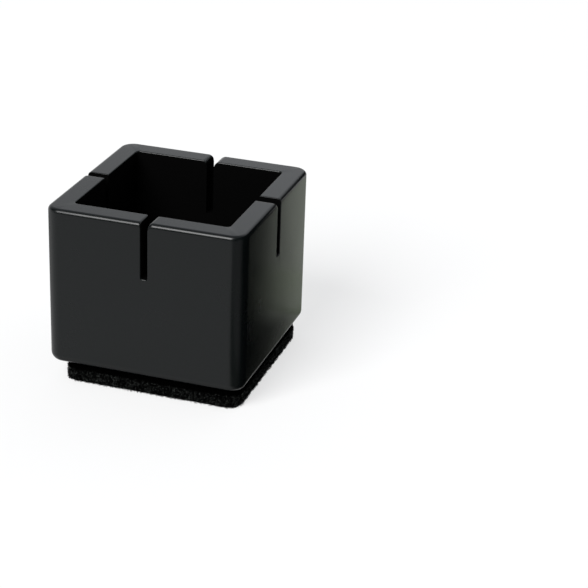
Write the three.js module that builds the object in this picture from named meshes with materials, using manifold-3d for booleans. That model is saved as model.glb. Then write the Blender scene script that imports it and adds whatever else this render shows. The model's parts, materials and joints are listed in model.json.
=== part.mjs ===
// Slip-on cap for a square chair leg: a black rubber sleeve with a closed floor, slotted at the
// middle of each wall so that its four corners spread over the leg as gripping jaws, and a felt
// pad stuck under the floor to slide on. Millimetres, +Z up, origin on the ground under the middle.
import * as THREE from 'three';
import { mergeVertices } from 'three/addons/utils/BufferGeometryUtils.js';
import Module from 'manifold-3d';

// Rubber sleeve
const LEG_SIDE = 25.4;
const WALL = 3.6;
const SLEEVE_HEIGHT = 26.2;
const FLOOR_THICKNESS = 3.6;
const CORNER_RADIUS = 2.4;
const RIM_RADIUS = 0.7;
const BASE_RADIUS = 1.4;
const SOCKET_CORNER_RADIUS = 0.6;
const SOCKET_MOUTH_RADIUS = 0.35;

// Slots that part the four jaws
const SLOT_WIDTH = 1.2;
const SLOT_DEPTH = 9.3;
const SLOT_ROOT_RADIUS = 0.3;
const SLOT_LIP_RADIUS = 1;

// Felt pad and the film that holds it
const FELT_THICKNESS = 3;
const FELT_INSET = 1.55;
const FELT_CORNER_RADIUS = 2.2;
const FELT_EDGE_RADIUS = 0.35;
const FILM_THICKNESS = 0.4;
const FILM_INSET = 0.6;

// Facets of a quarter turn, the smallest radius that is drawn, and how far a cutter runs past
const CORNER_STEPS = 10;
const FILLET_STEPS = 6;
const LEAST_RADIUS = 0.05;
const CUT_PAST = 2;

// Levels and sides that follow from the sizes above
const OUTER_SIDE = LEG_SIDE + 2 * WALL;
const FILM_Z = FELT_THICKNESS;
const SLEEVE_Z = FILM_Z + FILM_THICKNESS;
const SOCKET_Z = SLEEVE_Z + FLOOR_THICKNESS;
const RIM_Z = SLEEVE_Z + SLEEVE_HEIGHT;
const SLOT_ROOT_Z = RIM_Z - SLOT_DEPTH;
const JAW_Z = SLOT_ROOT_Z + SLOT_ROOT_RADIUS;
const FELT_SIDE = OUTER_SIDE - 2 * FELT_INSET;
const FILM_SIDE = FELT_SIDE - 2 * FILM_INSET;

const wasm = await Module();
wasm.setup();

const rubber = new THREE.MeshStandardMaterial({ color: 0x1d1e1f, roughness: 0.5, metalness: 0 });
const felt = new THREE.MeshStandardMaterial({ color: 0x171918, roughness: 1, metalness: 0 });
const film = new THREE.MeshStandardMaterial({ color: 0x3a3934, roughness: 0.6, metalness: 0 });

// A section of a square bar with rounded corners, turning anticlockwise seen from above.
function squareRing({ z, side, radius }) {
  const round = Math.max(radius, LEAST_RADIUS);
  const middle = side / 2 - round;
  const points = [];
  for (let corner = 0; corner < 4; corner++) {
    const start = corner * Math.PI / 2;
    const x = middle * Math.SQRT2 * Math.cos(start + Math.PI / 4);
    const y = middle * Math.SQRT2 * Math.sin(start + Math.PI / 4);
    for (let step = 0; step <= CORNER_STEPS; step++) {
      const angle = start + step / CORNER_STEPS * Math.PI / 2;
      points.push(new THREE.Vector3(x + round * Math.cos(angle), y + round * Math.sin(angle), z));
    }
  }
  return points;
}

// A closed solid through square sections, listed from the lowest to the highest.
function loft(sections) {
  const rings = sections.map(squareRing);
  const count = rings[0].length;
  const points = rings.flat();
  const lowest = points.push(new THREE.Vector3(0, 0, sections[0].z)) - 1;
  const highest = points.push(new THREE.Vector3(0, 0, sections.at(-1).z)) - 1;
  const index = [];
  for (let i = 0; i < count; i++) {
    const next = (i + 1) % count;
    for (let ring = 0; ring < rings.length - 1; ring++) {
      const low = ring * count;
      const high = low + count;
      index.push(low + i, low + next, high + next);
      index.push(low + i, high + next, high + i);
    }
    const top = (rings.length - 1) * count;
    index.push(lowest, next, i);
    index.push(highest, top + i, top + next);
  }
  const geometry = new THREE.BufferGeometry().setFromPoints(points);
  geometry.setIndex(index);
  return geometry;
}

// Sections of a square bar from bottom to top, whose two end edges are rounded to the given radii.
function barSections({ side, corner, bottom, top, bottomRadius, topRadius }) {
  const sections = [];
  const add = (z, inset) => sections.push({ z, side: side - 2 * inset, radius: corner - inset });
  for (let step = 0; step <= FILLET_STEPS; step++) {
    const turn = step / FILLET_STEPS * Math.PI / 2;
    add(bottom + bottomRadius * (1 - Math.sin(turn)), bottomRadius * (1 - Math.cos(turn)));
  }
  sections.reverse();
  for (let step = 0; step <= FILLET_STEPS; step++) {
    const turn = step / FILLET_STEPS * Math.PI / 2;
    add(top - topRadius * (1 - Math.sin(turn)), topRadius * (1 - Math.cos(turn)));
  }
  return sections;
}

// Sections of the leg's socket, whose mouth opens out in a round edge and runs past the rim.
function socketSections() {
  const sections = [{ z: SOCKET_Z, side: LEG_SIDE, radius: SOCKET_CORNER_RADIUS }];
  for (let step = 0; step <= FILLET_STEPS; step++) {
    const turn = step / FILLET_STEPS * Math.PI / 2;
    const flare = SOCKET_MOUTH_RADIUS * (1 - Math.cos(turn));
    const z = RIM_Z - SOCKET_MOUTH_RADIUS * (1 - Math.sin(turn));
    sections.push({ z, side: LEG_SIDE + 2 * flare, radius: SOCKET_CORNER_RADIUS + flare });
  }
  sections.push({ ...sections.at(-1), z: RIM_Z + CUT_PAST });
  return sections;
}

// Outline of a slot seen along it: a flat root with round corners, and lips that roll outwards.
function slotOutline() {
  const half = SLOT_WIDTH / 2;
  const root = Math.min(SLOT_ROOT_RADIUS, half - LEAST_RADIUS);
  const lip = half + SLOT_LIP_RADIUS;
  const lipZ = RIM_Z - SLOT_LIP_RADIUS;
  const outline = new THREE.Shape();
  outline.moveTo(root - half, SLOT_ROOT_Z);
  outline.lineTo(half - root, SLOT_ROOT_Z);
  outline.absarc(half - root, SLOT_ROOT_Z + root, root, -Math.PI / 2, 0, false);
  outline.lineTo(half, lipZ);
  outline.absarc(lip, lipZ, SLOT_LIP_RADIUS, Math.PI, Math.PI / 2, true);
  outline.lineTo(lip, RIM_Z + CUT_PAST);
  outline.lineTo(-lip, RIM_Z + CUT_PAST);
  outline.lineTo(-lip, RIM_Z);
  outline.absarc(-lip, lipZ, SLOT_LIP_RADIUS, Math.PI / 2, 0, true);
  outline.lineTo(-half, SLOT_ROOT_Z + root);
  outline.absarc(root - half, SLOT_ROOT_Z + root, root, Math.PI, 1.5 * Math.PI, false);
  return outline;
}

// A cutter for the two slots that face each other across the sleeve, running along Y.
function slotCutter() {
  const length = OUTER_SIDE + 2 * CUT_PAST;
  const geometry = new THREE.ExtrudeGeometry(slotOutline(), {
    depth: length,
    bevelEnabled: false,
    curveSegments: FILLET_STEPS,
  });
  return geometry.translate(0, 0, -length / 2).rotateX(Math.PI / 2);
}

// A box from one corner to the opposite one.
function boxBetween(low, high) {
  const size = high.clone().sub(low);
  const middle = low.clone().add(high).multiplyScalar(0.5);
  return new THREE.BoxGeometry(size.x, size.y, size.z).translate(middle.x, middle.y, middle.z);
}

function toSolid(geometry) {
  const bare = geometry.clone();
  bare.deleteAttribute('normal');
  bare.deleteAttribute('uv');
  const merged = mergeVertices(bare);
  return new wasm.Manifold(new wasm.Mesh({
    numProp: 3,
    vertProperties: new Float32Array(merged.attributes.position.array),
    triVerts: new Uint32Array(merged.index.array),
  }));
}

function toGeometry(solid) {
  const { vertProperties, triVerts } = solid.getMesh();
  const geometry = new THREE.BufferGeometry();
  geometry.setAttribute('position', new THREE.BufferAttribute(vertProperties, 3));
  geometry.setIndex(new THREE.BufferAttribute(triVerts, 1));
  geometry.computeVertexNormals();
  return geometry;
}

function piece(name, geometry, material) {
  const mesh = new THREE.Mesh(geometry, material);
  mesh.name = name;
  return mesh;
}

// The whole moulding: a rounded block, hollowed for the leg and slotted both ways.
function makeSleeve() {
  const block = toSolid(loft(barSections({
    side: OUTER_SIDE,
    corner: CORNER_RADIUS,
    bottom: SLEEVE_Z,
    top: RIM_Z,
    bottomRadius: BASE_RADIUS,
    topRadius: RIM_RADIUS,
  })));
  const socket = toSolid(loft(socketSections()));
  const slot = slotCutter();
  const crossSlot = slot.clone().rotateZ(Math.PI / 2);
  return block.subtract(socket).subtract(toSolid(slot)).subtract(toSolid(crossSlot));
}

// The part of the moulding that stays still: its floor and its walls up to the slots' roots.
function makeCup(sleeve) {
  const reach = OUTER_SIDE / 2 + CUT_PAST;
  const low = new THREE.Vector3(-reach, -reach, SLEEVE_Z - CUT_PAST);
  const high = new THREE.Vector3(reach, reach, JAW_Z);
  return toGeometry(sleeve.intersect(toSolid(boxBetween(low, high))));
}

// One corner of the moulding above the slots' roots, on the given sides of the middle.
function makeJaw(sleeve, sideX, sideY) {
  const reach = OUTER_SIDE / 2 + CUT_PAST;
  const inner = new THREE.Vector3(0, 0, JAW_Z);
  const outer = new THREE.Vector3(sideX * reach, sideY * reach, RIM_Z + CUT_PAST);
  const low = inner.clone().min(outer);
  const high = inner.clone().max(outer);
  return toGeometry(sleeve.intersect(toSolid(boxBetween(low, high))));
}

function makeFilm() {
  const cut = { side: FILM_SIDE, radius: FELT_CORNER_RADIUS - FILM_INSET };
  return loft([{ z: FILM_Z, ...cut }, { z: SLEEVE_Z, ...cut }]);
}

function makeFelt() {
  return loft(barSections({
    side: FELT_SIDE,
    corner: FELT_CORNER_RADIUS,
    bottom: 0,
    top: FELT_THICKNESS,
    bottomRadius: FELT_EDGE_RADIUS,
    topRadius: FELT_EDGE_RADIUS,
  }));
}

const cap = new THREE.Group();
const sleeve = makeSleeve();
cap.add(piece('sleeve_cup', makeCup(sleeve), rubber));
for (const [name, sideX, sideY] of [
  ['grip_jaw_front_left', -1, -1],
  ['grip_jaw_front_right', 1, -1],
  ['grip_jaw_back_right', 1, 1],
  ['grip_jaw_back_left', -1, 1],
]) {
  cap.add(piece(name, makeJaw(sleeve, sideX, sideY), rubber));
}
cap.add(piece('adhesive_film', makeFilm(), film));
cap.add(piece('felt_pad', makeFelt(), felt));

export default cap;
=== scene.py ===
"""A black rubber cap for a square chair leg, with a felt pad under it, in a white studio."""

import json
import math
from types import SimpleNamespace

import bmesh
import bpy
import numpy as np
from mathutils import Matrix, Vector, noise


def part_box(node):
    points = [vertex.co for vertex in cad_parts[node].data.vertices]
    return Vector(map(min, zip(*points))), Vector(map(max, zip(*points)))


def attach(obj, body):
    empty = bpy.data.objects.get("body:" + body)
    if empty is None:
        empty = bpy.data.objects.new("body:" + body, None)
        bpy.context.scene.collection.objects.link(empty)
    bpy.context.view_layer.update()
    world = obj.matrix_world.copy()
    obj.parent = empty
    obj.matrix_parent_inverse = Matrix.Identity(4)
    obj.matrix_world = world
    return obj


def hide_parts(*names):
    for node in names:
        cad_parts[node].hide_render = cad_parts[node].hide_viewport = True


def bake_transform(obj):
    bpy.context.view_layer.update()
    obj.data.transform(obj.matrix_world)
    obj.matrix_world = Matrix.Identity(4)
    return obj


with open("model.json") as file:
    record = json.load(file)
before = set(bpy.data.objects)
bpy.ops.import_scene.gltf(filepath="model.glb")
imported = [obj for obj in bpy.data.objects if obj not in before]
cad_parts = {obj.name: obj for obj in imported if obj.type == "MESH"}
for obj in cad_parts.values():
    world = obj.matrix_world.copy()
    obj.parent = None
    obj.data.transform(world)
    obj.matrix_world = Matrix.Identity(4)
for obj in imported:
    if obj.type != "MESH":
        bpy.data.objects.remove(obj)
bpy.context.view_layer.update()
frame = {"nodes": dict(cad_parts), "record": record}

MM = 0.001


def in_mm(place):
    """A place in metres, as millimetres."""
    return np.array(place) / MM


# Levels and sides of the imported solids, in millimetres
JAW_LOW, JAW_HIGH = map(in_mm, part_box("grip_jaw_back_right"))
CUP_LOW, CUP_HIGH = map(in_mm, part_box("sleeve_cup"))
_, PAD_HIGH = map(in_mm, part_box("felt_pad"))
SEAT = next(m for m in frame["record"]["mounts"] if m["name"] == "leg_seat")
OUTER_HALF = CUP_HIGH[0]
SLEEVE_Z, JAW_Z, RIM_Z = CUP_LOW[2], JAW_LOW[2], JAW_HIGH[2]
SOCKET_Z = SEAT["pos_m"][2] / MM
SLOT_HALF = JAW_LOW[0]
PAD_HALF = PAD_HIGH[0]
PAD_TOP = PAD_HIGH[2]

# Sizes of the moulding that its boxes don't give, in millimetres
WALL = 3.6
CORNER_RADIUS = 2.4
BASE_RADIUS = 1.4
RIM_RADIUS = 0.7
MOUTH_RADIUS = 0.2
SOCKET_CORNER_RADIUS = 0.6
SOCKET_FLOOR_RADIUS = 0.4
SLOT_ROOT_RADIUS = 0.3
SLOT_EDGE_RADIUS = 0.16
SLOT_INNER_EDGE_RADIUS = 0.04
# Going round from the right wall to the back, the left and the front, each jaw meets two slots. Their
# blades sat a little off the middle, so each edge stands this much further out, and trimming left the
# lips unlike
CORNERS = ("back_right", "back_left", "front_left", "front_right")
SLOT_TRIMS = {
    "back_right": (0.6, 0.2),
    "back_left": (-0.2, 0),
    "front_left": (0, -0.3),
    "front_right": (0.22, -0.2),
}
LIP_RADII = {
    "back_right": (0.2, 1.1),
    "back_left": (0.8, 0.2),
    "front_left": (0.6, 0.4),
    "front_right": (0.8, 0.8),
}
# The widest lip ends this far past the solids' slot edge, and the plain walls begin behind that
LIP_REACH = 1.3
# The blade that cut a slot also dulled the steepest part of each lip, this share of its rounding
STEEP_SHARE = 0.2

# Facets of the mouldings, and the angle in degrees from which an edge stays sharp
ARC_STEPS = 10
CORNER_STEPS = 14
ARM_STEPS = 4
WALL_STEPS = 14
CUP_WALL_STEPS = 5
SHARP_ANGLE = 40

# Felt, in millimetres: the nap is the loose layer of fibres outside the dense heart
PAD_CORNER_RADIUS = 2.2
PAD_EDGE_RADIUS = 0.2
NAP = 0.12
SIDE_NAP = 0.05
# The pad is stuck on by hand, a little to the right and the front of the middle
PAD_SHIFT = (0.72, -0.25, 0)
# Near the glue the edge is pressed flat, so no loose fibres stand out above this height
NAP_TOP = 2.2
# The heart has large and small lumps; the small ones are this share as high as the large ones
LUMP_SIZE = 0.7
SMALL_LUMP_SIZE = 0.3
SMALL_LUMP_SHARE = 0.6
LUMP_HEIGHT = 0.03
# Facets of the heart: round it, across its underside, up its side and at its edges. The underside's
# innermost ring has this half side
HEART_MIDDLE = 1
HEART_STEPS = 360
HEART_UNDER_RINGS = 40
HEART_SIDE_RINGS = 10
HEART_EDGE_STEPS = 5

# Loose fibres, in millimetres and radians. A pair is a mean and its spread, or a least and a most
UNDER_FIBRES = SimpleNamespace(
    count=7900,
    points=5,
    length=(1.0, 0.4),
    length_limits=(0.4, 2.2),
    curl=(0, 0.9),
    arch=(0.03, NAP),
    sunk=0.04,
    thickness=(0.06, 0.1),
)
SIDE_FIBRES = SimpleNamespace(
    count=9000,
    points=4,
    length=(0.34, 0.12),
    length_limits=(0.18, 0.65),
    curl=(0, 1.2),
    arch=(0.03, 0.14),
    sunk=0.06,
    thickness=(0.05, 0.08),
)
# On the underside this share of the fibres follows the web's run, and the others lie anyhow
WEB_SHARE = 0.65
WEB_RUN = (math.radians(35), 0.45)
# On the cut edge this share of the fibres' ends stands free, and the others are tucked in
FREE_SHARE = 0.35
FREE_REACH = (0.02, 0.2)
TUCKED = 0.03
# The lowest roots on the cut edge, places to root a fibre round it, and the lowest a fibre may hang
SIDE_ROOT_LOW = 0.08
SIDE_ROOT_PLACES = 4000
FIBRE_LOW = 0.02
# Every fibre sways by this angle and has this many radians of a wave in its length
SWAY = 0.45
SWAY_WAVE = 5
# Strands have three sides and thin from here on to this share of their thickness at the tip
STRAND_SIDES = 3
THINS_FROM = 0.7
TIP_SHARE = 0.4
# A slanted way, along which no fibre runs, to start each strand's section from
SLANT = (0.31, 0.47, 0.83)

# Camera, as in the photograph: degrees and millimetres, aimed from a point this far below the rim
CAMERA_AZIMUTH = 17.11
CAMERA_ELEVATION = 24.44
CAMERA_ROLL = 2.07
CAMERA_DISTANCE = 301.4
CAMERA_AIM_BELOW_RIM = 26.0
CAMERA_AIM_RIGHT = 18.69
CAMERA_AIM_UP = 6.74
CAMERA_LENS = 112.6
CAMERA_SENSOR = 36

# The floor, in millimetres: half its side, how far it reaches in under the pad and how far it is below
FLOOR_HALF = 3000
FLOOR_TUCK = 0.8
FLOOR_DROP = 0.02
# To the eye and in reflections, this share of the floor's white is its own light
LIGHT_TABLE_SHARE = 0.65

# How bright the studio is in front, behind, overhead and at the horizon, and the shares of this that
# the panel behind gives at its left and at its right
FRONT_LEVEL = 0.12
BACK_LEVEL = 0.88
OVERHEAD_LEVEL = 0.55
HORIZON_LEVEL = 1
PANEL_LEFT = 0.78
PANEL_RIGHT = 1.15

# White, and white as the cloths at the right and the panel behind tint it
WHITE = "#ffffff"
WARM_WHITE = "#f8fff0"
COOL_WHITE = "#f6faff"

SEED = 7


def linear(code):
    """A colour written as sRGB hex, as the linear values that shaders take."""
    shares = [int(code[i : i + 2], 16) / 255 for i in (1, 3, 5)]
    return [s / 12.92 if s <= 0.04045 else ((s + 0.055) / 1.055) ** 2.4 for s in shares] + [1]


def add_node(tree, kind, values=(), links=(), **settings):
    """One shader node, with its own settings, its sockets' values and what feeds its sockets."""
    made = tree.nodes.new(kind)
    for name, value in settings.items():
        setattr(made, name, value)
    for socket, value in dict(values).items():
        made.inputs[socket].default_value = value
    for socket, source in dict(links).items():
        tree.links.new(source, made.inputs[socket])
    return made


def new_material(name):
    """An empty material and its node tree."""
    material = bpy.data.materials.new(name)
    material.use_nodes = True
    material.node_tree.nodes.clear()
    return material, material.node_tree


def moulded_black_rubber():
    """Carbon-black rubber from a polished mould: satin, nearly black, with soft broad reflections.

    Wax blooms out in patches, which shift its tint and gloss a little. The mould leaves a faint
    waviness a few millimetres across and a fine grain, which is drawn at 0.3 mm, coarser than the
    real one, so that it shows at all."""
    grain_size, wave_size, bloom_size = 0.3 * MM, 6 * MM, 9 * MM
    material, tree = new_material("moulded_black_rubber")
    place = add_node(tree, "ShaderNodeTexCoord").outputs["Object"]
    grain = add_node(
        tree, "ShaderNodeTexNoise", {"Scale": 1 / grain_size, "Detail": 3}, {"Vector": place}
    )
    waves = add_node(
        tree, "ShaderNodeTexNoise", {"Scale": 1 / wave_size, "Detail": 1}, {"Vector": place}
    )
    bloom = add_node(
        tree, "ShaderNodeTexNoise", {"Scale": 1 / bloom_size, "Detail": 4}, {"Vector": place}
    )
    tint = add_node(
        tree,
        "ShaderNodeMix",
        {"A": linear("#040707"), "B": linear("#06090a")},
        {"Factor": bloom.outputs["Fac"]},
        data_type="RGBA",
    )
    shine = add_node(
        tree,
        "ShaderNodeMapRange",
        {"From Min": 0.3, "From Max": 0.7, "To Min": 0.22, "To Max": 0.28},
        {"Value": bloom.outputs["Fac"]},
    )
    wavy = add_node(
        tree,
        "ShaderNodeBump",
        {"Strength": 0.03, "Distance": 0.2 * MM},
        {"Height": waves.outputs["Fac"]},
    )
    fine = add_node(
        tree,
        "ShaderNodeBump",
        {"Strength": 0.01, "Distance": 0.02 * MM},
        {"Height": grain.outputs["Fac"], "Normal": wavy.outputs["Normal"]},
    )
    shader = add_node(
        tree,
        "ShaderNodeBsdfPrincipled",
        {"IOR": 1.41, "Specular IOR Level": 0.35},
        {
            "Base Color": tint.outputs["Result"],
            "Roughness": shine.outputs["Result"],
            "Normal": fine.outputs["Normal"],
        },
    )
    add_node(tree, "ShaderNodeOutputMaterial", (), {"Surface": shader.outputs["BSDF"]})
    return material


def rough_black_rubber():
    """The same rubber off the mould's spark-eroded core and slot blades: a dull, sooty black.

    The eroded pits are about 0.05 mm wide and are drawn at 0.15 mm, so that they show."""
    pit_size = 0.15 * MM
    material, tree = new_material("rough_black_rubber")
    place = add_node(tree, "ShaderNodeTexCoord").outputs["Object"]
    pits = add_node(
        tree, "ShaderNodeTexNoise", {"Scale": 1 / pit_size, "Detail": 2}, {"Vector": place}
    )
    tint = add_node(
        tree,
        "ShaderNodeMix",
        {"A": linear("#040404"), "B": linear("#080808")},
        {"Factor": pits.outputs["Fac"]},
        data_type="RGBA",
    )
    bump = add_node(
        tree,
        "ShaderNodeBump",
        {"Strength": 0.3, "Distance": 0.03 * MM},
        {"Height": pits.outputs["Fac"]},
    )
    shader = add_node(
        tree,
        "ShaderNodeBsdfPrincipled",
        {"Roughness": 0.9, "IOR": 1.41, "Specular IOR Level": 0},
        {"Base Color": tint.outputs["Result"], "Normal": bump.outputs["Normal"]},
    )
    add_node(tree, "ShaderNodeOutputMaterial", (), {"Surface": shader.outputs["BSDF"]})
    return material


def needled_black_felt():
    """The dense heart of needled polyester felt: dead black, specked with the ends of cut fibres.

    Ends show in real felt as specks 0.03 mm wide; these are drawn at 0.18 mm, so that they show.
    Towards the top the specks fade out to plain black: painted shade, where the cup shades the pad."""
    speck_size = 0.18 * MM
    # Painted shade: the specks fade out above this band, so the pad's top under the cup is plain black
    painted_shade_full_above, painted_shade_none_below = (NAP_TOP + 0.1) * MM, (NAP_TOP - 0.5) * MM
    material, tree = new_material("needled_black_felt")
    place = add_node(tree, "ShaderNodeTexCoord").outputs["Object"]
    ends = add_node(
        tree, "ShaderNodeTexNoise", {"Scale": 1 / speck_size, "Detail": 1}, {"Vector": place}
    )
    specks = add_node(
        tree,
        "ShaderNodeMapRange",
        {"From Min": 0.5, "From Max": 0.75},
        {"Value": ends.outputs["Fac"]},
    )
    height = add_node(tree, "ShaderNodeSeparateXYZ", (), {0: place}).outputs["Z"]
    outside_painted_shade = add_node(
        tree,
        "ShaderNodeMapRange",
        {"From Min": painted_shade_full_above, "From Max": painted_shade_none_below},
        {"Value": height},
    )
    light = add_node(
        tree,
        "ShaderNodeMath",
        (),
        {0: specks.outputs["Result"], 1: outside_painted_shade.outputs["Result"]},
        operation="MULTIPLY",
    )
    tint = add_node(
        tree,
        "ShaderNodeMix",
        {"A": linear("#010101"), "B": linear("#0e0f0f")},
        {"Factor": light.outputs["Value"]},
        data_type="RGBA",
    )
    bump = add_node(
        tree,
        "ShaderNodeBump",
        {"Strength": 0.6, "Distance": 0.1 * MM},
        {"Height": ends.outputs["Fac"]},
    )
    shader = add_node(
        tree,
        "ShaderNodeBsdfPrincipled",
        {"Roughness": 0.95, "IOR": 1.5, "Specular IOR Level": 0},
        {"Base Color": tint.outputs["Result"], "Normal": bump.outputs["Normal"]},
    )
    add_node(tree, "ShaderNodeOutputMaterial", (), {"Surface": shader.outputs["BSDF"]})
    return material


def drawn_polyester_fibre():
    """Single fibres of the felt: dyed black, smooth from drawing, and a few painted grey: a painted
    glint.

    A real fibre is about 0.03 mm thick; these are drawn two to three times that, so that they show."""
    # Painted glint: how rare the fibres are that are painted grey, in place of a real highlight
    painted_glint_rarity = 6
    material, tree = new_material("drawn_polyester_fibre")
    strand = add_node(tree, "ShaderNodeNewGeometry").outputs["Random Per Island"]
    rare = add_node(tree, "ShaderNodeMath", {1: painted_glint_rarity}, {0: strand}, operation="POWER")
    tint = add_node(
        tree,
        "ShaderNodeMix",
        {"A": linear("#010101"), "B": linear("#4a4d4b")},
        {"Factor": rare.outputs["Value"]},
        data_type="RGBA",
    )
    shader = add_node(
        tree,
        "ShaderNodeBsdfPrincipled",
        {"Roughness": 0.4, "IOR": 1.5, "Specular IOR Level": 0.04},
        {"Base Color": tint.outputs["Result"]},
    )
    add_node(tree, "ShaderNodeOutputMaterial", (), {"Surface": shader.outputs["BSDF"]})
    return material


def acrylic_adhesive_film():
    """Double-sided acrylic film, squeezed flat: dark, a little glossy, with trapped bubbles."""
    bubble_size = 0.8 * MM
    material, tree = new_material("acrylic_adhesive_film")
    place = add_node(tree, "ShaderNodeTexCoord").outputs["Object"]
    bubbles = add_node(tree, "ShaderNodeTexVoronoi", {"Scale": 1 / bubble_size}, {"Vector": place})
    tint = add_node(
        tree,
        "ShaderNodeMix",
        {"A": linear("#2a2926"), "B": linear("#1a1917")},
        {"Factor": bubbles.outputs["Distance"]},
        data_type="RGBA",
    )
    shader = add_node(
        tree,
        "ShaderNodeBsdfPrincipled",
        {"Roughness": 0.4, "IOR": 1.47},
        {"Base Color": tint.outputs["Result"]},
    )
    add_node(tree, "ShaderNodeOutputMaterial", (), {"Surface": shader.outputs["BSDF"]})
    return material


def mesh_object(name, points, faces, materials):
    """A mesh in the scene, from points in millimetres."""
    mesh = bpy.data.meshes.new(name)
    mesh.from_pydata([tuple(p) for p in np.asarray(points) * MM], [], faces)
    for material in materials:
        mesh.materials.append(material)
    made = bpy.data.objects.new(name, mesh)
    bpy.context.scene.collection.objects.link(made)
    return made


def new_piece(name, points, faces, materials, finishes=()):
    """A piece of the cap, with its faces turned outwards.

    finishes gives each face's place in the list of materials, where there are several."""
    piece = mesh_object(name, points, faces, materials)
    if len(finishes):
        piece.data.polygons.foreach_set("material_index", finishes)
    shape = bmesh.new()
    shape.from_mesh(piece.data)
    bmesh.ops.recalc_face_normals(shape, faces=shape.faces)
    shape.to_mesh(piece.data)
    shape.free()
    return piece


def shade_moulding(piece):
    """Round edges shade smoothly, while wide flat faces stay flat up to their edges."""
    piece.data.shade_smooth()
    piece.data.set_sharp_from_angle(angle=math.radians(SHARP_ANGLE))
    weighted = piece.modifiers.new("flat_faces", "WEIGHTED_NORMAL")
    weighted.keep_sharp = True
    weighted.weight = 100


def quarter_arc(radius, steps=ARC_STEPS):
    """(along, back) of a quarter round: along runs from 0 to the radius while back runs down to 0."""
    turns = np.linspace(0, math.pi / 2, steps + 1)
    return radius * (1 - np.cos(turns)), radius * (1 - np.sin(turns))


def inset_round(along, radius):
    """How far a round edge of that radius draws a face in, at a distance along from the edge."""
    left = max(radius - along, 0)
    return radius - math.sqrt(max(radius**2 - left**2, 0))


def corner_radius_at(depth):
    """The plan's corner radius at a depth into the wall, from the outer face to the socket's."""
    depths = [0, RIM_RADIUS, WALL - MOUTH_RADIUS, WALL]
    radii = [
        CORNER_RADIUS,
        CORNER_RADIUS - RIM_RADIUS,
        SOCKET_CORNER_RADIUS + MOUTH_RADIUS,
        SOCKET_CORNER_RADIUS,
    ]
    return float(np.interp(depth, depths, radii))


def plan_place(kind, value, half, radius):
    """Plan place in the back right quarter: on the right wall, round the corner or on the back wall.

    kind says which, and value is a distance from the slot's middle, a share of the plain arm between
    slot and corner, or an angle in the corner."""
    middle = half - radius
    if kind == "corner":
        return middle + radius * math.cos(value), middle + radius * math.sin(value)
    wall, measure = kind.split("_")
    start = SLOT_HALF + LIP_REACH + SLOT_EDGE_RADIUS
    along = value if measure == "slot" else start + value * (middle - start)
    return (half, along) if wall == "right" else (along, half)


def arms_and_corner():
    """Columns of a quarter between its two slots' lips: plain arms and the corner."""
    shares = np.linspace(0, 1, ARM_STEPS + 1)
    angles = np.linspace(0, math.pi / 2, CORNER_STEPS + 1)[1:-1]
    return (
        [("right_arm", s) for s in shares]
        + [("corner", a) for a in angles]
        + [("back_arm", s) for s in shares[::-1]]
    )


def jaw_profile():
    """A jaw's wall in section, from its outer foot over the rim to its inner foot: depth and height."""
    along, back = quarter_arc(RIM_RADIUS)
    mouth_along, mouth_back = quarter_arc(MOUTH_RADIUS)
    outer = [(0, z) for z in np.linspace(JAW_Z, RIM_Z - RIM_RADIUS, WALL_STEPS + 1)]
    rim = [(a, RIM_Z - b) for a, b in zip(along[1:], back[1:])]
    mouth = [(WALL - a, RIM_Z - b) for a, b in zip(mouth_along[::-1], mouth_back[::-1])]
    inner = [(WALL, z) for z in np.linspace(RIM_Z - MOUTH_RADIUS, JAW_Z, WALL_STEPS + 1)[1:]]
    return outer + rim + mouth + inner


def make_jaw(corner, turn, satin, rough):
    """One corner of the moulding above the slots' roots; the real one bends over from the cup as it
    spreads.
    """
    height = RIM_Z - JAW_Z
    profile = jaw_profile()
    lips = dict(zip(("right_slot", "back_slot"), LIP_RADII[corner]))
    edges = {kind: SLOT_HALF + trim for kind, trim in zip(lips, SLOT_TRIMS[corner])}
    ends = {}
    for kind, lip in lips.items():
        radii = (SLOT_INNER_EDGE_RADIUS, SLOT_EDGE_RADIUS, lip)
        arcs = [quarter_arc(radius)[0] for radius in radii]
        # Columns that fall together to a thousandth of a millimetre are one
        steps = np.unique(np.round(np.concatenate(arcs), 3))
        ends[kind] = [(kind, edges[kind] + s) for s in steps]
    columns = ends["right_slot"] + arms_and_corner() + ends["back_slot"][::-1]

    points = []
    for kind, value in columns:
        past = value - edges[kind] if kind in edges else math.inf
        outer = inset_round(past, SLOT_EDGE_RADIUS)
        inner = inset_round(past, SLOT_INNER_EDGE_RADIUS)
        drop = inset_round(past, lips.get(kind, 0))
        for depth, z in profile:
            inside = outer + depth * (WALL - outer - inner) / WALL
            x, y = plan_place(kind, value, OUTER_HALF - inside, corner_radius_at(inside))
            points.append((x, y, JAW_Z + (z - JAW_Z) * (height - drop) / height))

    rows, count = len(profile), len(columns)
    # The socket's wall is dull below the mouth's rounding, and so is the steepest part of each lip
    mouth_foot = rows - 1 - WALL_STEPS
    limits = {kind: edges[kind] + STEEP_SHARE * lip for kind, lip in lips.items()}
    dull = [kind in limits and value < limits[kind] for kind, value in columns]
    steep = [here and there for here, there in zip(dull, dull[1:])]
    faces, finishes = [], []
    for c in range(count - 1):
        here, there = c * rows, (c + 1) * rows
        for r in range(rows - 1):
            faces.append((here + r, here + r + 1, there + r + 1, there + r))
            finishes.append(int(r >= mouth_foot or (steep[c] and r >= WALL_STEPS)))
        faces.append((here + rows - 1, here, there, there + rows - 1))
        finishes.append(1)
    for start in (0, (count - 1) * rows):
        for r in range(WALL_STEPS):
            near, far = start + r, start + rows - 1 - r
            faces.append((near, near + 1, far - 1, far))
        faces.append(tuple(range(start + WALL_STEPS, start + rows - WALL_STEPS)))
    finishes += [1] * (len(faces) - len(finishes))

    turned = np.array(points) @ np.array(Matrix.Rotation(turn, 3, "Z")).T
    jaw = new_piece("rubber_jaw_" + corner, turned, faces, [satin, rough], finishes)
    shade_moulding(jaw)
    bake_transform(jaw)
    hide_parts("grip_jaw_" + corner)


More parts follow.
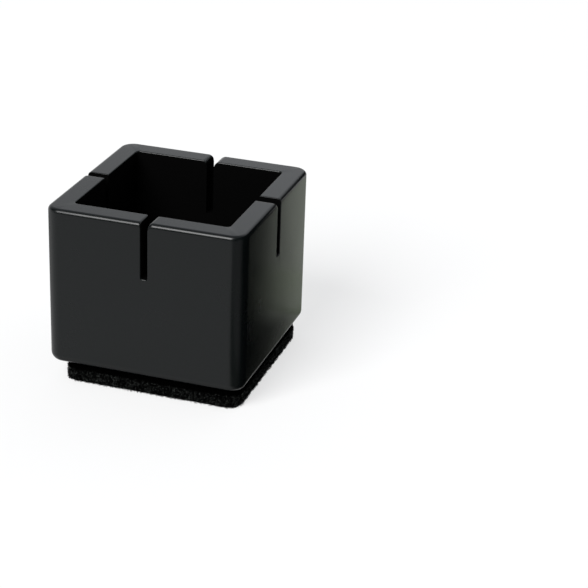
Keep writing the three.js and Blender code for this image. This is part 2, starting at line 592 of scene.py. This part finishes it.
def cup_rows():
    """The cup's section from the middle of its underside, up outside, over the top and down inside.

    A wall row is a depth, a corner radius and a height; a top row is a depth and how far the slot's
    rounded edge spreads there."""
    base_along, base_back = quarter_arc(BASE_RADIUS)
    edge_along, edge_back = quarter_arc(SLOT_EDGE_RADIUS)
    inner_along, inner_back = quarter_arc(SLOT_INNER_EDGE_RADIUS)
    floor_along, floor_back = quarter_arc(SOCKET_FLOOR_RADIUS)
    outer_levels = np.linspace(SLEEVE_Z + BASE_RADIUS, JAW_Z, CUP_WALL_STEPS + 1)[1:-1]
    inner_levels = np.linspace(JAW_Z, SOCKET_Z + SOCKET_FLOOR_RADIUS, CUP_WALL_STEPS + 1)[1:]
    rows = [
        ("wall", a, CORNER_RADIUS - a, SLEEVE_Z + b)
        for a, b in zip(base_along[::-1], base_back[::-1])
    ]
    rows += [("wall", 0, CORNER_RADIUS, z) for z in outer_levels]
    rows += [("top", d, b) for d, b in zip(edge_along, edge_back)]
    rows += [("top", WALL - d, b) for d, b in zip(inner_along[::-1], inner_back[::-1])]
    rows += [("wall", WALL, SOCKET_CORNER_RADIUS, z) for z in inner_levels]
    rows += [
        ("wall", WALL + a, SOCKET_CORNER_RADIUS - a, SOCKET_Z + b)
        for a, b in zip(floor_along[1:], floor_back[1:])
    ]
    return rows


def cup_place(column, row, trims):
    """Where a column of the back right quarter crosses a row of the cup's section."""
    kind, value = column
    on_top = row[0] == "top"
    if on_top:
        depth, spread = row[1:]
        radius = float(np.interp(depth, [0, WALL], [CORNER_RADIUS, SOCKET_CORNER_RADIUS]))
        z = JAW_Z
    else:
        depth, radius, z = row[1:]
        spread = SLOT_EDGE_RADIUS if depth < WALL / 2 else SLOT_INNER_EDGE_RADIUS
    half = OUTER_HALF - depth
    if not kind.endswith("root"):
        return *plan_place(kind, value, half, radius), z
    swing = SLOT_ROOT_RADIUS + spread
    edge = SLOT_HALF + trims[kind == "back_root"]
    along = max(edge - SLOT_ROOT_RADIUS + swing * math.cos(value), 0)
    if on_top:
        z -= swing * math.sin(value)
    return (half, along, z) if kind == "right_root" else (along, half, z)


def make_cup(satin, rough):
    """Floor and walls up to the slots' roots, with the roots rounded into the top edge."""
    turns = np.linspace(math.pi / 2, 0, ARC_STEPS + 1)
    quarter = [("right_root", t) for t in turns]
    quarter += arms_and_corner()
    quarter += [("back_root", t) for t in turns[::-1]]
    rows = cup_rows()
    points = []
    for turn, corner in enumerate(CORNERS):
        spin = np.array(Matrix.Rotation(turn * math.pi / 2, 3, "Z"))
        trims = SLOT_TRIMS[corner]
        points += [spin @ cup_place(column, row, trims) for column in quarter for row in rows]

    deep, count = len(rows), len(CORNERS) * len(quarter)
    inside = next(i for i, row in enumerate(rows) if row[0] == "top") + ARC_STEPS
    faces, finishes = [], []
    for c in range(count):
        here, there = c * deep, (c + 1) % count * deep
        for r in range(deep - 1):
            faces.append((here + r, here + r + 1, there + r + 1, there + r))
            finishes.append(int(r >= inside))
    faces.append(tuple(c * deep for c in range(count)))
    faces.append(tuple(c * deep + deep - 1 for c in range(count)))
    # The underside is satin, and so is the socket's floor, where the mould's core was polished
    cup = new_piece("rubber_cup", points, faces, [satin, rough], finishes + [0, 0])
    shade_moulding(cup)
    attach(cup, "cup")
    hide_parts("sleeve_cup")


def square_outline(half, radius, steps):
    """Points and outward directions round a square with rounded corners, evenly spaced."""
    straight = 2 * (half - radius)
    arc = radius * math.pi / 2
    places, outwards = [], []
    for s in np.arange(steps) * 4 * (straight + arc) / steps:
        side, left = divmod(s, straight + arc)
        angle = max(left - straight, 0) / radius
        x = half - radius + radius * math.cos(angle)
        y = half - radius + radius * math.sin(angle) if left > straight else left - straight / 2
        spin = Matrix.Rotation(side * math.pi / 2, 2)
        places.append(spin @ Vector((x, y)))
        outwards.append(spin @ Vector((math.cos(angle), math.sin(angle))))
    return np.array(places), np.array(outwards)


def make_felt_heart(material):
    """The pad's dense heart: a die-cut square with soft edges and a lumpy surface."""
    half = PAD_HALF - SIDE_NAP
    low, high = NAP, PAD_TOP
    along, back = quarter_arc(PAD_EDGE_RADIUS, HEART_EDGE_STEPS)
    under_halves = np.linspace(HEART_MIDDLE, half - PAD_EDGE_RADIUS, HEART_UNDER_RINGS)
    side_levels = np.linspace(low + PAD_EDGE_RADIUS, high - PAD_EDGE_RADIUS, HEART_SIDE_RINGS)[1:]
    profile = [(h, low) for h in under_halves]
    profile += [(half - a, low + b) for a, b in zip(along[-2::-1], back[-2::-1])]
    profile += [(half, z) for z in side_levels]
    profile += [(half - a, high - b) for a, b in zip(along[1:], back[1:])]
    points = []
    for side, z in profile:
        places, outwards = square_outline(side, min(PAD_CORNER_RADIUS, side / 2), HEART_STEPS)
        for (x, y), (out_x, out_y) in zip(places, outwards):
            spot = Vector((x, y, z))
            lump = noise.noise(spot / LUMP_SIZE) + SMALL_LUMP_SHARE * noise.noise(spot / SMALL_LUMP_SIZE)
            out = LUMP_HEIGHT * lump
            lift = out if z < high else 0
            points.append((x + out_x * out, y + out_y * out, z + lift))
    rows = len(profile)
    faces = []
    for r in range(rows - 1):
        for s in range(HEART_STEPS):
            here = r * HEART_STEPS + s
            there = r * HEART_STEPS + (s + 1) % HEART_STEPS
            faces.append((here, there, there + HEART_STEPS, here + HEART_STEPS))
    faces.append(tuple(range(HEART_STEPS)))
    faces.append(tuple((rows - 1) * HEART_STEPS + s for s in range(HEART_STEPS)))
    heart = new_piece("felt_heart", np.array(points) + PAD_SHIFT, faces, [material])
    heart.data.shade_smooth()
    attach(heart, "cup")
    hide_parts("felt_pad")


def make_fibres(name, lines, thickness, material):
    """Closed strands along lines, an array of strands by points by three."""
    strands, steps = lines.shape[:2]
    ahead = np.gradient(lines, axis=1)
    ahead /= np.linalg.norm(ahead, axis=2, keepdims=True)
    across = np.cross(ahead, SLANT)
    across /= np.linalg.norm(across, axis=2, keepdims=True)
    over = np.cross(ahead, across)
    taper = np.interp(np.linspace(0, 1, steps), [0, THINS_FROM, 1], [1, 1, TIP_SHARE])
    radius = thickness[:, None, None] / 2 * taper[None, :, None]
    rings = [
        lines + radius * (math.cos(a) * across + math.sin(a) * over)
        for a in np.arange(STRAND_SIDES) * 2 * math.pi / STRAND_SIDES
    ]
    points = np.stack(rings, axis=2).reshape(-1, 3)
    last = STRAND_SIDES * (steps - 1)
    strand = []
    for ring in range(0, last, STRAND_SIDES):
        for k in range(STRAND_SIDES):
            here, there = ring + k, ring + (k + 1) % STRAND_SIDES
            strand.append((here, there, there + STRAND_SIDES, here + STRAND_SIDES))
    strand.append(tuple(reversed(range(STRAND_SIDES))))
    strand.append(tuple(range(last, last + STRAND_SIDES)))
    per_strand = STRAND_SIDES * steps
    faces = []
    for first in range(0, strands * per_strand, per_strand):
        faces += [tuple(first + i for i in face) for face in strand]
    fibres = new_piece(name, points + PAD_SHIFT, faces, [material])
    fibres.data.shade_smooth()
    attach(fibres, "cup")


def curled_lines(roots, frames, heading, length, curl, lift, random, steps):
    """Lines from roots on the pad's skin that run along it, curl sideways and arch off it.

    frames holds two directions along the skin and one off it for each root; lift gives how far each
    line's start, middle and end stand off the skin."""
    share = np.linspace(0, 1, steps)
    wave = random.uniform(0, 2 * math.pi, (len(roots), 1))
    bend = curl[:, None] * (share - 0.5)
    angle = heading[:, None] + bend + SWAY * np.sin(wave + SWAY_WAVE * share)
    stride = (length / (steps - 1))[:, None]
    first = np.cumsum(np.cos(angle) * stride, axis=1)
    second = np.cumsum(np.sin(angle) * stride, axis=1)
    middle = steps // 2
    first -= first[:, middle : middle + 1]
    second -= second[:, middle : middle + 1]
    start, arch, end = lift
    off = start[:, None] * (1 - share) + end[:, None] * share
    off = off + arch[:, None] * np.sin(math.pi * share)
    moves = np.stack([first, second, off], axis=2)
    return roots[:, None, :] + np.einsum("nsk,nkd->nsd", moves, frames)


def make_under_fibres(material):
    """Fibres lying on the underside, mostly along the web's run, in loose curls."""
    sizes, count = UNDER_FIBRES, UNDER_FIBRES.count
    random = np.random.default_rng(SEED)
    reach = PAD_HALF - SIDE_NAP
    roots = np.column_stack([random.uniform(-reach, reach, (count, 2)), np.full(count, NAP)])
    frames = np.tile(np.array([[1, 0, 0], [0, 1, 0], [0, 0, -1]], float), (count, 1, 1))
    run = random.normal(*WEB_RUN, count)
    astray = random.uniform(0, 2 * math.pi, count)
    heading = np.where(random.random(count) < WEB_SHARE, run, astray)
    length = np.clip(random.normal(*sizes.length, count), *sizes.length_limits)
    curl = random.normal(*sizes.curl, count)
    arch = random.uniform(*sizes.arch, count)
    sunk = np.full(count, -sizes.sunk)
    lift = (sunk, arch, sunk)
    lines = curled_lines(roots, frames, heading, length, curl, lift, random, sizes.points)
    # Fibres that would hang over the pad's rounded outline are left off
    past_straight = np.maximum(np.abs(lines[..., :2]) - (reach - PAD_CORNER_RADIUS), 0)
    lines = lines[np.linalg.norm(past_straight, axis=2).max(axis=1) < PAD_CORNER_RADIUS]
    lines[..., 2] = np.maximum(lines[..., 2], FIBRE_LOW)
    thickness = random.uniform(*sizes.thickness, len(lines))
    make_fibres("felt_fibres_under", lines, thickness, material)


def make_side_fibres(material):
    """Fibres on the cut edge: short curls that stand out all round and blur the outline."""
    sizes, count = SIDE_FIBRES, SIDE_FIBRES.count
    random = np.random.default_rng(SEED + 1)
    places, outwards = square_outline(PAD_HALF - SIDE_NAP, PAD_CORNER_RADIUS, SIDE_ROOT_PLACES)
    pick = random.integers(0, len(places), count)
    out = np.column_stack([outwards[pick], np.zeros(count)])
    up = np.tile([0.0, 0.0, 1.0], (count, 1))
    frames = np.stack([np.cross(up, out), up, out], axis=1)
    roots = np.column_stack([places[pick], random.uniform(SIDE_ROOT_LOW, NAP_TOP, count)])
    heading = random.uniform(0, 2 * math.pi, count)
    length = np.clip(random.normal(*sizes.length, count), *sizes.length_limits)
    curl = random.normal(*sizes.curl, count)
    stands = random.random(count) < FREE_SHARE
    free = np.where(stands, random.uniform(*FREE_REACH, count), -TUCKED)
    sunk = np.full(count, -sizes.sunk)
    arch = random.uniform(*sizes.arch, count)
    lift = (sunk, arch, free)
    lines = curled_lines(roots, frames, heading, length, curl, lift, random, sizes.points)
    lines[..., 2] = np.clip(lines[..., 2], FIBRE_LOW, PAD_TOP)
    thickness = random.uniform(*sizes.thickness, count)
    make_fibres("felt_fibres_side", lines, thickness, material)


def stage_mesh(name, points, faces, material):
    """A piece of the studio."""
    piece = mesh_object(name, points, faces, [material])
    return piece


def studio_floor():
    """A wide sheet of white card, open under the pad, that clears when it is seen from below.

    To the eye and in reflections it is mostly a light table, so it stays white with a pale shadow."""
    material, tree = new_material("white_card")
    card = add_node(tree, "ShaderNodeBsdfDiffuse", {"Color": linear("#e8e8e8")})
    table = add_node(tree, "ShaderNodeEmission", {"Color": linear(WHITE), "Strength": 1})
    rays = add_node(tree, "ShaderNodeLightPath").outputs
    seen = rays["Is Camera Ray"]
    for other in ("Is Glossy Ray", "Is Transmission Ray"):
        seen = add_node(tree, "ShaderNodeMath", (), {0: seen, 1: rays[other]}).outputs["Value"]
    share = add_node(
        tree, "ShaderNodeMath", {1: LIGHT_TABLE_SHARE}, {0: seen}, operation="MULTIPLY"
    )
    lit = add_node(
        tree,
        "ShaderNodeMixShader",
        (),
        {0: share.outputs["Value"], 1: card.outputs[0], 2: table.outputs[0]},
    )
    clear = add_node(tree, "ShaderNodeBsdfTransparent")
    behind = add_node(tree, "ShaderNodeNewGeometry").outputs["Backfacing"]
    surface = add_node(
        tree, "ShaderNodeMixShader", (), {0: behind, 1: lit.outputs[0], 2: clear.outputs[0]}
    )
    add_node(tree, "ShaderNodeOutputMaterial", (), {"Surface": surface.outputs[0]})
    shift_x, shift_y, _ = PAD_SHIFT
    points = []
    for half in (FLOOR_HALF, PAD_HALF - FLOOR_TUCK):
        for x, y in ((-1, -1), (1, -1), (1, 1), (-1, 1)):
            points.append((x * half + shift_x, y * half + shift_y, -FLOOR_DROP))
    faces = [(i, (i + 1) % 4, 4 + (i + 1) % 4, 4 + i) for i in range(4)]
    stage_mesh("floor", points, faces, material)


def black_gauze(name, corners, openness, axis="Y", through=WHITE):
    """A black cloth that shades reflections and nothing else.

    openness lists places along an axis, in millimetres, with how thin the cloth is there, up to 1;
    through is the colour that white takes on behind it."""
    material, tree = new_material("black_gauze")
    place = add_node(tree, "ShaderNodeTexCoord").outputs["Object"]
    along = add_node(tree, "ShaderNodeSeparateXYZ", (), {0: place}).outputs[axis]
    first, last = openness[0][0], openness[-1][0]
    share = add_node(
        tree,
        "ShaderNodeMapRange",
        {"From Min": first * MM, "From Max": last * MM},
        {"Value": along},
    )
    thin = add_node(tree, "ShaderNodeValToRGB", (), {0: share.outputs["Result"]})
    stops = thin.color_ramp.elements
    while len(stops) < len(openness):
        stops.new(0.5)
    for stop, (spot, value) in zip(stops, openness):
        stop.position = (spot - first) / (last - first)
        stop.color = (value, value, value, 1)
    cloth = add_node(tree, "ShaderNodeBsdfDiffuse", {"Color": linear("#050505")})
    clear = add_node(tree, "ShaderNodeBsdfTransparent", {"Color": linear(through)})
    surface = add_node(
        tree,
        "ShaderNodeMixShader",
        (),
        {0: thin.outputs["Color"], 1: cloth.outputs[0], 2: clear.outputs[0]},
    )
    add_node(tree, "ShaderNodeOutputMaterial", (), {"Surface": surface.outputs[0]})
    gauze = stage_mesh(name, corners, [(0, 1, 2, 3)], material)
    for ray in ("camera", "diffuse", "transmission", "volume_scatter", "shadow"):
        setattr(gauze, "visible_" + ray, False)


def laid_flat(left, right, front, back):
    """Corners of a cloth on the floor, from the places of its four sides in millimetres."""
    return [(left, front, 0), (right, front, 0), (right, back, 0), (left, back, 0)]


def hung_up(start, end, low, high):
    """Corners of a cloth that hangs between two places in plan, from a low to a high level."""
    return [(*start, low), (*end, low), (*end, high), (*start, high)]


def reflection_shades():
    """Black cloths round the cap: by its right corner and wall, at its left, behind and in front."""
    # Close to the right wall: its front half and the corner stay dark
    black_gauze(
        "shade_corner",
        hung_up(start=(18.5, -60), end=(18.5, 4), low=0, high=34),
        [(-60, 0.4), (-17.3, 0.4), (-15.3, 0), (-7, 0), (-4, 0.1), (-1, 0.25), (2, 0.7), (4, 1)],
    )
    # On the floor at the right, in three strips: the right wall brightens towards the back
    black_gauze(
        "shade_right_foot",
        laid_flat(left=16.5, right=20, front=-60, back=40),
        [
            (-60, 0.4),
            (-20, 0.4),
            (-16, 0.12),
            (5, 0.12),
            (10, 0.2),
            (15, 0.4),
            (20, 0.6),
            (26, 0.85),
            (32, 1),
        ],
        through=WARM_WHITE,
    )
    black_gauze(
        "shade_right_near",
        laid_flat(left=20, right=23.5, front=-60, back=24),
        [(-60, 0.4), (-20, 0.4), (-15, 0), (15, 0), (19, 0.1), (22, 0.4), (24, 1)],
        through=WARM_WHITE,
    )
    black_gauze(
        "shade_right_floor",
        laid_flat(left=23.5, right=30, front=-60, back=40),
        [(-60, 0.4), (-20, 0.4), (-15, 0), (15, 0), (19, 0.1), (22.5, 0.35), (25, 0.7), (27, 1)],
        through=WARM_WHITE,
    )
    # Upright past the right wall's far end: the upper part of that wall brightens towards the back
    black_gauze(
        "shade_right_back",
        hung_up(start=(16.5, 22), end=(34, 22), low=0, high=26),
        [(17, 0.75), (19, 0.75), (21, 0.62), (23, 0.35), (25, 0.08), (27, 0), (34, 0)],
        axis="X",
        through=WARM_WHITE,
    )
    # On the floor at the left: the front left corner darkens round to the side
    black_gauze(
        "shade_left_floor",
        laid_flat(left=-90, right=-17, front=-40, back=60),
        [(-20, 1), (10, 0.4), (60, 0.3)],
    )
    # On the floor just in front: the base's rounding stays dark
    black_gauze(
        "shade_front_floor",
        laid_flat(left=-17, right=16.5, front=-19, back=-15),
        [(-19, 0.8), (-15, 0.2)],
    )
    # Far behind at the right: a dark line in the roundings of the rim
    black_gauze(
        "shade_back",
        hung_up(start=(20, 190), end=(130, 170), low=28, high=110),
        [(170, 0), (190, 0)],
    )
    # Far in front: the rim's rounding stays dark under its highlight
    black_gauze(
        "shade_front",
        hung_up(start=(-200, -170), end=(200, -170), low=0, high=60),
        [(-180, 0), (-160, 0)],
    )


def softbox(name, distance, azimuth, elevation, width, height, radiance):
    """A softbox at a distance and direction from the cap, facing it, as bright as that radiance.

    Azimuth 0 is in front; the width and height are the angles that it spans, in degrees."""
    light = bpy.data.lights.new(name, "AREA")
    light.shape = "RECTANGLE"
    light.size = 2 * distance * MM * math.tan(math.radians(width / 2))
    light.size_y = 2 * distance * MM * math.tan(math.radians(height / 2))
    light.energy = radiance * math.pi * light.size * light.size_y
    lamp = bpy.data.objects.new(name, light)
    bpy.context.scene.collection.objects.link(lamp)
    a, e = math.radians(azimuth), math.radians(elevation)
    way = Vector((math.sin(a) * math.cos(e), -math.cos(a) * math.cos(e), math.sin(e)))
    lamp.location = Vector((0, 0, RIM_Z * MM)) + distance * MM * way
    lamp.rotation_euler = way.to_track_quat("Z", "Y").to_euler()
    lamp.visible_camera = False


def studio_light():
    """White all round at the horizon, a panel behind, dim above and in front, and a softbox in front.

    The panel behind is faintly cool, and brighter to the right of its left end."""
    world = bpy.data.worlds.new("studio")
    world.use_nodes = True
    tree = world.node_tree
    tree.nodes.clear()
    way = add_node(tree, "ShaderNodeTexCoord").outputs["Generated"]
    parts = add_node(tree, "ShaderNodeSeparateXYZ", (), {0: way}).outputs
    behind = add_node(
        tree,
        "ShaderNodeMapRange",
        {"From Min": -0.1, "From Max": 0.5, "To Min": FRONT_LEVEL, "To Max": BACK_LEVEL},
        {"Value": parts["Y"]},
        interpolation_type="SMOOTHSTEP",
    ).outputs["Result"]
    overhead = add_node(
        tree,
        "ShaderNodeMapRange",
        {"From Min": 0.75, "From Max": 0.95},
        {"Value": parts["Z"]},
        interpolation_type="SMOOTHSTEP",
    ).outputs["Result"]
    horizon = add_node(
        tree,
        "ShaderNodeMapRange",
        {"From Min": 0.34, "From Max": 0.2},
        {"Value": parts["Z"]},
        interpolation_type="SMOOTHSTEP",
    ).outputs["Result"]
    rightward = add_node(
        tree,
        "ShaderNodeMapRange",
        {"From Min": -0.42, "From Max": -0.26, "To Min": PANEL_LEFT, "To Max": PANEL_RIGHT},
        {"Value": parts["X"]},
    ).outputs["Result"]
    panel = add_node(tree, "ShaderNodeMath", (), {0: behind, 1: rightward}, operation="MULTIPLY")
    dimmed = add_node(
        tree, "ShaderNodeMix", {"B": OVERHEAD_LEVEL}, {"Factor": overhead, "A": panel.outputs[0]}
    )
    level = add_node(
        tree, "ShaderNodeMix", {"B": HORIZON_LEVEL}, {"Factor": horizon, "A": dimmed.outputs[0]}
    )
    tint = add_node(
        tree,
        "ShaderNodeMix",
        {"A": linear(COOL_WHITE), "B": linear(WHITE)},
        {"Factor": horizon},
        data_type="RGBA",
    )
    background = add_node(
        tree,
        "ShaderNodeBackground",
        (),
        {"Color": tint.outputs["Result"], "Strength": level.outputs[0]},
    )
    add_node(tree, "ShaderNodeOutputWorld", (), {"Surface": background.outputs[0]})
    bpy.context.scene.world = world
    softbox(
        "front_softbox",
        distance=8000,
        azimuth=-17,
        elevation=39,
        width=28,
        height=32,
        radiance=15.5,
    )


def photo_camera():
    """The photograph's view of the cap, with its framing."""
    a, e, r = map(math.radians, (CAMERA_AZIMUTH, CAMERA_ELEVATION, CAMERA_ROLL))
    level = Vector((math.cos(a), math.sin(a), 0))
    back = Vector((math.sin(a) * math.cos(e), -math.cos(a) * math.cos(e), math.sin(e)))
    upright = back.cross(level)
    right = math.cos(r) * level + math.sin(r) * upright
    up = math.cos(r) * upright - math.sin(r) * level
    under_rim = Vector((0, 0, RIM_Z - CAMERA_AIM_BELOW_RIM))
    aim = under_rim + CAMERA_AIM_RIGHT * right + CAMERA_AIM_UP * up
    camera = bpy.data.objects.new("camera", bpy.data.cameras.new("camera"))
    camera.data.lens = CAMERA_LENS
    camera.data.sensor_width = CAMERA_SENSOR
    turn = Matrix((right, up, back)).transposed().to_4x4()
    camera.matrix_world = Matrix.Translation((aim + CAMERA_DISTANCE * back) * MM) @ turn
    bpy.context.scene.collection.objects.link(camera)
    bpy.context.scene.camera = camera


photo_camera()
studio_floor()
studio_light()
reflection_shades()

satin_rubber = moulded_black_rubber()
rough_rubber = rough_black_rubber()
make_cup(satin_rubber, rough_rubber)
for quarter, corner in enumerate(CORNERS):
    make_jaw(corner, quarter * math.pi / 2, satin_rubber, rough_rubber)

make_felt_heart(needled_black_felt())
fibre = drawn_polyester_fibre()
make_under_fibres(fibre)
make_side_fibres(fibre)

film = frame["nodes"]["adhesive_film"]
film.data.materials.clear()
film.data.materials.append(acrylic_adhesive_film())

bpy.context.scene.view_settings.view_transform = "Standard"
